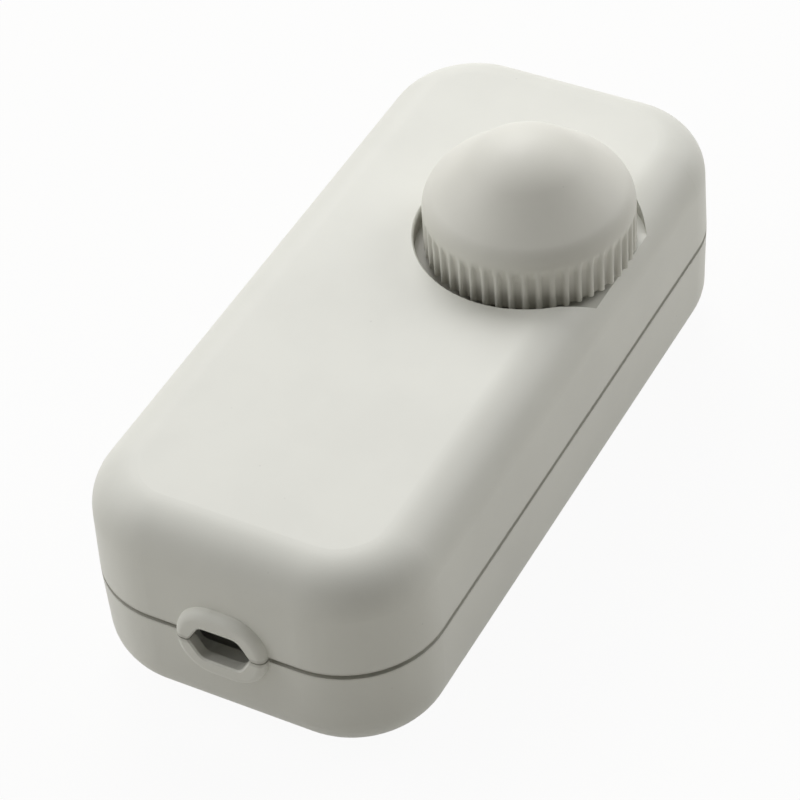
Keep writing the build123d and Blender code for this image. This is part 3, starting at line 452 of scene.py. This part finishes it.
def makeGripRidges():
    tree, given, out = newGroup(
        "gripRidges", "GeometryNodeTree",
        [("Geometry", "NodeSocketGeometry", None), ("Centre", "NodeSocketVector", (0, 0, 0)),
         ("Inner Radius", "NodeSocketFloat", 11 * mm), ("Ridges", "NodeSocketInt", 48),
         ("Phase", "NodeSocketFloat", 0.0), ("Groove Depth", "NodeSocketFloat", 0.4 * mm),
         ("Crest Share", "NodeSocketFloat", 0.2), ("Foot Share", "NodeSocketFloat", 0.6),
         ("Fade From", "NodeSocketFloat", 0.0), ("Fade To", "NodeSocketFloat", 0.0),
         ("Material", "NodeSocketMaterial", None)],
        [("Geometry", "NodeSocketGeometry")],
    )
    place = addNode(tree, "GeometryNodeInputPosition").outputs[0]
    split = addNode(tree, "ShaderNodeSeparateXYZ")
    feed(tree, split.inputs[0], place)
    across, along, height = split.outputs
    outward = vector(tree, across, along, 0.0)
    away = addNode(tree, "ShaderNodeVectorMath", operation="LENGTH")
    feed(tree, away.inputs[0], outward)
    outer = maths(tree, "GREATER_THAN", away.outputs["Value"], given["Inner Radius"])
    turn = maths(tree, "SUBTRACT", maths(tree, "ARCTAN2", along, across), given["Phase"])
    perRadian = maths(tree, "DIVIDE", given["Ridges"], fullTurn)
    share = maths(tree, "FRACT", maths(tree, "MULTIPLY", turn, perRadian))
    halfWay = maths(tree, "ABSOLUTE", maths(tree, "SUBTRACT", share, 0.5))
    fromCrest = maths(tree, "MULTIPLY", halfWay, 2.0)  # 0 on a crest, 1 midway between two
    groove = smoothStep(tree, fromCrest, given["Crest Share"], given["Foot Share"])
    fade = smoothStep(tree, height, given["Fade From"], given["Fade To"], 1.0, 0.0)
    depth = maths(tree, "MULTIPLY", maths(tree, "MULTIPLY", groove, fade), given["Groove Depth"])
    depth = maths(tree, "MULTIPLY", maths(tree, "MULTIPLY", depth, outer), -1.0)
    unit = addNode(tree, "ShaderNodeVectorMath", operation="NORMALIZE")
    feed(tree, unit.inputs[0], outward)
    push = addNode(tree, "ShaderNodeVectorMath", operation="SCALE")
    feed(tree, push.inputs[0], unit.outputs[0])
    feed(tree, push.inputs["Scale"], depth)
    cut = addNode(tree, "GeometryNodeSetPosition")
    feed(tree, cut.inputs["Geometry"], given["Geometry"])
    feed(tree, cut.inputs["Offset"], push.outputs[0])
    moved = addNode(tree, "GeometryNodeTransform")
    feed(tree, moved.inputs["Geometry"], cut.outputs[0])
    feed(tree, moved.inputs["Translation"], given["Centre"])
    closeTree(tree, out, moved.outputs[0], given["Material"])
    return tree


def knobOutline(sizes):
    radius, rim, wall, lip, slope = (sizes[key] for key in ("radius", "rim", "wall", "lip", "slope"))
    shoulder = (radius - sizes["shoulder"], rim)
    crown = (0.0, sizes["crownHeight"])
    inner = arc(shoulder, sizes["shoulder"] - wall, 0, slope, sizes["innerShoulderSteps"])
    dome = arc(crown, sizes["crown"] - wall, slope, 90 - slope, sizes["innerDomeSteps"])
    inside = [point for point in reversed(inner + dome) if point[0] > sizes["hub"]]
    ceiling = inside[0][1]
    fades = [sizes["fadeFrom"] + step * sizes["fadeRise"] for step in range(sizes["fadeRows"])]
    skirt = [sizes["bottom"] + rise for rise in (lip, *sizes["skirtRises"])]
    skirt += [height for height in fades if height < rim]
    points = [(0, sizes["boreTop"]), (sizes["bore"], sizes["boreTop"]), (sizes["bore"], sizes["bottom"]),
              (sizes["hub"], sizes["bottom"]), (sizes["hub"], ceiling), *inside,
              (radius - wall, sizes["bottom"]), (radius - lip, sizes["bottom"])]
    points += [(radius, height) for height in skirt]
    points += arc(shoulder, sizes["shoulder"], 0, slope, sizes["shoulderSteps"])
    points += arc(crown, sizes["crown"], slope, 90 - slope, sizes["domeSteps"])[:-1]
    return points + [(0, sizes["crownHeight"] + sizes["crown"])]


def makeKnob(sizes):
    columns = sizes["ridges"] * sizes["ridgeColumns"]
    base = turned("knobTurned", knobOutline(sizes), columns, sizes["ridgePhase"])
    roof = (sizes["boreTop"] + sizes["lip"]) * mm
    reach = (sizes["bore"] + sizes["lip"]) * mm
    for corner in base.vertices:  # the flat of the bore
        if corner.co.z < roof and math.hypot(corner.co.x, corner.co.y) < reach:
            corner.co.x = min(corner.co.x, sizes["flat"] * mm)
    growPiece("dimmerKnob", makeGripRidges(), {
        "Centre": (sizes["centre"][0] * mm, sizes["centre"][1] * mm, 0.0),
        "Inner Radius": (sizes["radius"] - sizes["wall"] / 2) * mm,
        "Ridges": sizes["ridges"], "Phase": math.radians(sizes["ridgePhase"]),
        "Groove Depth": sizes["grooveDepth"] * mm, "Crest Share": sizes["crestShare"],
        "Foot Share": sizes["footShare"], "Fade From": sizes["fadeFrom"] * mm,
        "Fade To": sizes["fadeTo"] * mm, "Material": finish["knobPlastic"],
    }, base, "knob", ["dimmer_knob"])


makeKnob(knob)


# Screws: pan heads with a cross recess on threaded shanks, set on their seats

screwKinds = {  # the heads stand on their seats, and flip turns a screw to point up
    "housingScrews": {
        "node": "housing_screws", "seats": [(-30, -11.2, 4.2), (30, 11.2, 4.2)], "flip": True,
        "shank": 1.45, "head": 2.8, "height": 2.0, "length": 14.0, "pitch": 1.3, "seed": 3,
    },
    "clampScrews": {
        "node": "clamp_screws", "flip": False,
        "seats": [(-37.5, -8.8, 12.9), (-37.5, 8.8, 12.9), (37.5, -8.8, 12.9), (37.5, 8.8, 12.9)],
        "shank": 1.2, "head": 2.3, "height": 1.5, "length": 7.5, "pitch": 0.95, "seed": 5,
    },
    "boardScrews": {
        "node": "board_screws", "seats": [(-27.5, 12.3, 7.6), (27.5, -12.3, 7.6)], "flip": False,
        "shank": 1.2, "head": 2.3, "height": 1.5, "length": 5.0, "pitch": 0.95, "seed": 8,
    },
    "triacScrew": {
        "node": "triac_screw", "seats": [(19.6, 6.2, 10.4)], "flip": False,
        "shank": 1.45, "head": 2.8, "height": 2.0, "length": 7.1, "pitch": 0.6, "seed": 11,
    },
}
headShape = {  # shares of the head's radius and height, and of the shank's radius
    "levels": [(1.0, 0.0), (1.0, 0.5), (0.95, 0.76), (0.82, 0.94), (0.66, 1.0)], "corners": 32,
    "arm": 0.56, "armWidth": 0.12, "floorArm": 0.34, "floorWidth": 0.08, "recess": 0.62,
    "threadDepth": 0.17, "tip": 1.2, "point": 0.2, "threaded": 0.93,
}
screwMesh = {"sides": 24, "threadSteps": 20, "threadCorners": 4}


def crossHead(name, radius, height, shape):
    made = bmesh.new()

    def loop(points, level):
        corners = [made.verts.new((x * radius * mm, y * radius * mm, level * height * mm)) for x, y in points]
        return corners, [made.edges.new(pair) for pair in zip(corners, corners[1:] + corners[:1])]

    def wall(lower, upper):
        for pair in zip(lower, lower[1:] + lower[:1], upper[1:] + upper[:1], upper):
            made.faces.new(pair)

    def cross(arm, width):
        quarter = [(arm, width), (width, width), (width, arm)]
        points = quarter + [(-x, y) for x, y in reversed(quarter)]
        return points + [(-x, -y) for x, y in points]

    turns = [fullTurn * step / shape["corners"] for step in range(shape["corners"])]
    rings = [loop([(share * math.cos(turn), share * math.sin(turn)) for turn in turns], level)
             for share, level in shape["levels"]]
    made.faces.new(rings[0][0])
    for lower, upper in zip(rings, rings[1:]):
        wall(lower[0], upper[0])
    mouth = loop(cross(shape["arm"], shape["armWidth"]), 1.0)
    floor = loop(cross(shape["floorArm"], shape["floorWidth"]), 1.0 - shape["recess"])
    wall(floor[0], mouth[0])
    made.faces.new(floor[0])
    bmesh.ops.triangle_fill(made, use_beauty=True, edges=rings[-1][1] + mouth[1])
    return meshOf(name, made)


def makeScrewSet(counts):
    tree, given, out = newGroup(
        "screwSet", "GeometryNodeTree",
        [("Geometry", "NodeSocketGeometry", None), ("Head", "NodeSocketObject", None),
         ("Core Radius", "NodeSocketFloat", 1.2 * mm), ("Thread Depth", "NodeSocketFloat", 0.2 * mm),
         ("Pitch", "NodeSocketFloat", 1.0 * mm), ("Threaded Length", "NodeSocketFloat", 5 * mm),
         ("Shank Length", "NodeSocketFloat", 6 * mm), ("Tip Length", "NodeSocketFloat", 1 * mm),
         ("Tip Radius", "NodeSocketFloat", 0.2 * mm), ("Flip", "NodeSocketFloat", 0.0),
         ("Seed", "NodeSocketInt", 0), ("Material", "NodeSocketMaterial", None)],
        [("Geometry", "NodeSocketGeometry")],
    )
    parts = addNode(tree, "GeometryNodeJoinGeometry")

    def place(geometry, drop):
        moved = addNode(tree, "GeometryNodeTransform")
        feed(tree, moved.inputs["Geometry"], geometry)
        feed(tree, moved.inputs["Translation"], vector(tree, 0.0, 0.0, maths(tree, "MULTIPLY", drop, -1.0)))
        tree.links.new(moved.outputs[0], parts.inputs[0])

    shank = addNode(tree, "GeometryNodeMeshCylinder")
    feed(tree, shank.inputs["Vertices"], counts["sides"])
    feed(tree, shank.inputs["Radius"], given["Core Radius"])
    feed(tree, shank.inputs["Depth"], given["Shank Length"])
    place(shank.outputs["Mesh"], maths(tree, "MULTIPLY", given["Shank Length"], 0.5))
    tip = addNode(tree, "GeometryNodeMeshCone")
    feed(tree, tip.inputs["Vertices"], counts["sides"])
    feed(tree, tip.inputs["Radius Top"], given["Core Radius"])
    feed(tree, tip.inputs["Radius Bottom"], given["Tip Radius"])
    feed(tree, tip.inputs["Depth"], given["Tip Length"])
    place(tip.outputs["Mesh"], maths(tree, "ADD", given["Shank Length"], given["Tip Length"]))
    thread = addNode(tree, "GeometryNodeCurveSpiral")
    feed(tree, thread.inputs["Resolution"], counts["threadSteps"])
    feed(tree, thread.inputs["Rotations"], maths(tree, "DIVIDE", given["Threaded Length"], given["Pitch"]))
    feed(tree, thread.inputs["Start Radius"], given["Core Radius"])
    feed(tree, thread.inputs["End Radius"], given["Core Radius"])
    feed(tree, thread.inputs["Height"], given["Threaded Length"])
    edge = addNode(tree, "GeometryNodeCurvePrimitiveCircle")
    feed(tree, edge.inputs["Resolution"], counts["threadCorners"])
    feed(tree, edge.inputs["Radius"], given["Thread Depth"])
    swept = addNode(tree, "GeometryNodeCurveToMesh")
    feed(tree, swept.inputs["Curve"], thread.outputs[0])
    feed(tree, swept.inputs["Profile Curve"], edge.outputs[0])
    feed(tree, swept.inputs["Fill Caps"], True)
    place(swept.outputs[0], given["Shank Length"])
    head = addNode(tree, "GeometryNodeObjectInfo")
    feed(tree, head.inputs["Object"], given["Head"])
    tree.links.new(head.outputs["Geometry"], parts.inputs[0])
    spin = addNode(tree, "FunctionNodeRandomValue", data_type="FLOAT")
    feed(tree, spin.inputs[2], 0.0)
    feed(tree, spin.inputs[3], math.pi)
    feed(tree, spin.inputs["Seed"], given["Seed"])
    aim = addNode(tree, "FunctionNodeEulerToRotation")
    feed(tree, aim.inputs[0], vector(tree, given["Flip"], 0.0, spin.outputs[1]))
    standing = addNode(tree, "GeometryNodeInstanceOnPoints")
    feed(tree, standing.inputs["Points"], given["Geometry"])
    feed(tree, standing.inputs["Instance"], parts.outputs[0])
    feed(tree, standing.inputs["Rotation"], aim.outputs[0])
    closeTree(tree, out, standing.outputs[0], given["Material"])
    return tree


def makeScrews(kinds, shape):
    tree = makeScrewSet(screwMesh)
    for name, kind in kinds.items():
        seats = bpy.data.meshes.new(name + "Seats")
        seats.from_pydata([[value * mm for value in seat] for seat in kind["seats"]], [], [])
        crossed = crossHead(name + "Head", kind["head"], kind["height"], shape)
        head = bpy.data.objects.new(name + "Head", crossed)
        bpy.context.scene.collection.objects.link(head)
        tip = kind["shank"] * shape["tip"]
        growPiece(name, tree, {
            "Head": head, "Core Radius": kind["shank"] * (1 - shape["threadDepth"]) * mm,
            "Thread Depth": kind["shank"] * shape["threadDepth"] * mm, "Pitch": kind["pitch"] * mm,
            "Threaded Length": (kind["length"] - tip) * shape["threaded"] * mm,
            "Shank Length": (kind["length"] - tip) * mm, "Tip Length": tip * mm,
            "Tip Radius": kind["shank"] * shape["point"] * mm,
            "Flip": math.pi if kind["flip"] else 0.0, "Seed": kind["seed"],
            "Material": finish["zincSteel"],
        }, seats, "housing", [kind["node"]], sharp=screwEdge)
        bpy.data.objects.remove(head)


makeScrews(screwKinds, headShape)


# Choke winding: one wire wound turn by turn round the ring core

coil = {
    "centre": (-16.4, -8.0), "turns": 20, "steps": 28, "gap": 60, "lag": -50, "wire": 0.29,
    "inner": 2.38, "outer": 5.52, "bottom": 8.28, "top": 14.32, "squareness": 0.42,
    "pins": [(-11.9, -9.9, 8.3), (-11.9, -6.1, 8.3)], "wireSides": 8, "endMargin": 0.0001,
}


def makeCoilTree(wireSides, endMargin):
    tree, given, out = newGroup(
        "ringCoil", "GeometryNodeTree",
        [("Geometry", "NodeSocketGeometry", None), ("Centre", "NodeSocketVector", (0, 0, 0)),
         ("Turns", "NodeSocketInt", 20), ("Steps", "NodeSocketInt", 28), ("Start", "NodeSocketFloat", 0.5),
         ("Span", "NodeSocketFloat", 5.0), ("Lag", "NodeSocketFloat", 0.0),
         ("Middle Radius", "NodeSocketFloat", 4 * mm), ("Half Width", "NodeSocketFloat", 1.5 * mm),
         ("Half Height", "NodeSocketFloat", 3 * mm), ("Squareness", "NodeSocketFloat", 0.5),
         ("Wire Radius", "NodeSocketFloat", 0.3 * mm), ("First Pin", "NodeSocketVector", (0, 0, 0)),
         ("Last Pin", "NodeSocketVector", (0, 0, 0)), ("Material", "NodeSocketMaterial", None)],
        [("Geometry", "NodeSocketGeometry")],
    )
    steps = maths(tree, "MULTIPLY", given["Turns"], given["Steps"])
    points = addNode(tree, "GeometryNodeMeshLine")
    feed(tree, points.inputs["Count"], maths(tree, "ADD", steps, 1.0))
    share = maths(tree, "DIVIDE", addNode(tree, "GeometryNodeInputIndex").outputs[0], steps)
    around = maths(tree, "MULTIPLY_ADD", share, given["Span"], given["Start"])
    turn = maths(tree, "MULTIPLY", maths(tree, "MULTIPLY", share, given["Turns"]), fullTurn)
    turn = maths(tree, "ADD", turn, given["Lag"])

    def squared(wave):
        size = maths(tree, "POWER", maths(tree, "ABSOLUTE", wave), given["Squareness"])
        return maths(tree, "MULTIPLY", maths(tree, "SIGN", wave), size)

    away = maths(tree, "MULTIPLY_ADD", squared(maths(tree, "COSINE", turn)), given["Half Width"],
                 given["Middle Radius"])
    height = maths(tree, "MULTIPLY", squared(maths(tree, "SINE", turn)), given["Half Height"])
    spot = vector(tree, maths(tree, "MULTIPLY", away, maths(tree, "COSINE", around)),
                  maths(tree, "MULTIPLY", away, maths(tree, "SINE", around)), height)
    wound = addNode(tree, "GeometryNodeSetPosition")
    feed(tree, wound.inputs["Geometry"], points.outputs[0])
    centred = addNode(tree, "ShaderNodeVectorMath", operation="ADD")
    feed(tree, centred.inputs[0], spot)
    feed(tree, centred.inputs[1], given["Centre"])
    feed(tree, wound.inputs["Position"], centred.outputs[0])
    wire = addNode(tree, "GeometryNodeMeshToCurve")
    feed(tree, wire.inputs[0], wound.outputs[0])
    last = maths(tree, "COMPARE", share, 1.0, endMargin)
    first = maths(tree, "COMPARE", share, 0.0, endMargin)
    for isEnd, pin in ((first, "First Pin"), (last, "Last Pin")):
        tail = addNode(tree, "GeometryNodeSetPosition")
        feed(tree, tail.inputs["Geometry"], wire.outputs[0])
        feed(tree, tail.inputs["Selection"], isEnd)
        feed(tree, tail.inputs["Position"], given[pin])
        wire = tail
    section = addNode(tree, "GeometryNodeCurvePrimitiveCircle")
    feed(tree, section.inputs["Resolution"], wireSides)
    feed(tree, section.inputs["Radius"], given["Wire Radius"])
    swept = addNode(tree, "GeometryNodeCurveToMesh")
    feed(tree, swept.inputs["Curve"], wire.outputs[0])
    feed(tree, swept.inputs["Profile Curve"], section.outputs[0])
    feed(tree, swept.inputs["Fill Caps"], True)
    closeTree(tree, out, swept.outputs[0], given["Material"])
    return tree


def makeCoil(sizes):
    middle = (sizes["inner"] + sizes["outer"]) / 2
    level = (sizes["bottom"] + sizes["top"]) / 2
    last, first = ([value * mm for value in pin] for pin in sizes["pins"])
    growPiece("chokeWinding", makeCoilTree(sizes["wireSides"], sizes["endMargin"]), {
        "Centre": (sizes["centre"][0] * mm, sizes["centre"][1] * mm, level * mm),
        "Turns": sizes["turns"], "Steps": sizes["steps"], "Start": math.radians(sizes["gap"] / 2),
        "Span": math.radians(360 - sizes["gap"]), "Lag": math.radians(sizes["lag"]),
        "Middle Radius": middle * mm, "Half Width": (sizes["outer"] - middle) * mm,
        "Half Height": (sizes["top"] - level) * mm, "Squareness": sizes["squareness"],
        "Wire Radius": sizes["wire"] * mm, "First Pin": first, "Last Pin": last,
        "Material": finish["enamelledCopper"],
    }, bpy.data.meshes.new("chokeStart"), "housing", ["choke_winding"])


makeCoil(coil)


# Camera, fitted to the photograph

cameraFit = {
    "azimuth": -59.076, "elevation": 43.299, "roll": -4.842, "distance": 346.0,
    "target": (-5.014, -0.432, 14.444), "lens": 139.72, "sensor": 36.0,
    "clip": (0.01, 20),  # metres
}


def towards(azimuth, elevation):  # the way from the part to a camera or lamp
    turn, rise = math.radians(azimuth), math.radians(elevation)
    return Vector((math.sin(turn) * math.cos(rise), -math.cos(turn) * math.cos(rise), math.sin(rise)))


def makeCamera(fit):
    roll = math.radians(fit["roll"])
    back = towards(fit["azimuth"], fit["elevation"])
    level = Vector((0, 0, 1)).cross(back).normalized()
    upright = back.cross(level)
    right = level * math.cos(roll) + upright * math.sin(roll)
    up = upright * math.cos(roll) - level * math.sin(roll)
    data = bpy.data.cameras.new("photoCamera")
    data.lens, data.sensor_width = fit["lens"], fit["sensor"]
    data.clip_start, data.clip_end = fit["clip"]
    camera = bpy.data.objects.new("photoCamera", data)
    bpy.context.scene.collection.objects.link(camera)
    place = (Vector(fit["target"]) + back * fit["distance"]) * mm
    axes = Matrix((right, up, back)).transposed().to_4x4()
    camera.matrix_world = Matrix.Translation(place) @ axes
    return camera


bpy.context.scene.camera = makeCamera(cameraFit)


# Studio: white floor, white world, soft lamps

studio = {
    "floorSize": 6.0,  # metres
    "floorDrop": 0.02, "floorWhite": 0.94, "floorShade": 0.74, "ambient": 0.185,
    "warmth": (1.0, 0.98, 0.92),
    "lamps": {  # azimuth and elevation of each lamp, its distance and width in metres, and its watts
        "backKey": (126, 45, 0.9, 0.6, 4.3),
        "backLeft": (-165, 42, 0.9, 0.6, 2.3),
        "farRight": (56, 32, 0.9, 0.6, 2.3),
        "leftSoft": (-135, 18, 0.9, 0.6, 0.5),
    },
}


def backgroundRays(tree):  # 1 for the rays that see the white background, also in metal and glass
    seen = addNode(tree, "ShaderNodeLightPath")
    looking = maths(tree, "MAXIMUM", seen.outputs["Is Camera Ray"], seen.outputs["Is Glossy Ray"])
    return maths(tree, "MAXIMUM", looking, seen.outputs["Is Transmission Ray"])


def makeStudio(sizes):
    floor = bpy.data.meshes.new("floor")
    half = sizes["floorSize"] / 2
    level = -sizes["floorDrop"] * mm  # just clear of the housing's base
    corners = [(-half, -half, level), (half, -half, level), (half, half, level), (-half, half, level)]
    floor.from_pydata(corners, [], [(0, 1, 2, 3)])
    ground = bpy.data.objects.new("floor", floor)
    bpy.context.scene.collection.objects.link(ground)
    paper = bpy.data.materials.new("floorPaper")
    paper.use_nodes = True
    tree = paper.node_tree
    tree.nodes.clear()
    white = addNode(tree, "ShaderNodeBsdfDiffuse")
    white.inputs["Color"].default_value = [sizes["floorShade"] * part for part in sizes["warmth"]] + [1]
    glow = addNode(tree, "ShaderNodeEmission")
    mix = addNode(tree, "ShaderNodeMixShader")
    feed(tree, mix.inputs[0], maths(tree, "MULTIPLY", backgroundRays(tree), sizes["floorWhite"]))
    feed(tree, mix.inputs[1], white.outputs[0])
    feed(tree, mix.inputs[2], glow.outputs[0])
    end = addNode(tree, "ShaderNodeOutputMaterial")
    feed(tree, end.inputs[0], mix.outputs[0])
    floor.materials.append(paper)

    world = bpy.data.worlds.new("whiteRoom")
    bpy.context.scene.world = world
    world.use_nodes = True
    sky = world.node_tree
    sky.nodes.clear()
    light = addNode(sky, "ShaderNodeBackground")
    looking = backgroundRays(sky)
    span = maths(sky, "SUBTRACT", 1.0, sizes["ambient"])
    feed(sky, light.inputs["Strength"], maths(sky, "MULTIPLY_ADD", looking, span, sizes["ambient"]))
    tint = mixColors(sky, looking, (*sizes["warmth"], 1), (1, 1, 1, 1))
    feed(sky, light.inputs["Color"], tint)
    end = addNode(sky, "ShaderNodeOutputWorld")
    feed(sky, end.inputs[0], light.outputs[0])

    for name, (turn, rise, far, width, power) in sizes["lamps"].items():
        data = bpy.data.lights.new(name, "AREA")
        data.shape, data.size, data.energy = "DISK", width, power
        lamp = bpy.data.objects.new(name, data)
        bpy.context.scene.collection.objects.link(lamp)
        way = towards(turn, rise)
        lamp.location = way * far
        lamp.rotation_euler = way.to_track_quat("Z", "Y").to_euler()


makeStudio(studio)
bpy.context.scene.view_settings.view_transform = "Standard"
print("camera and studio set")
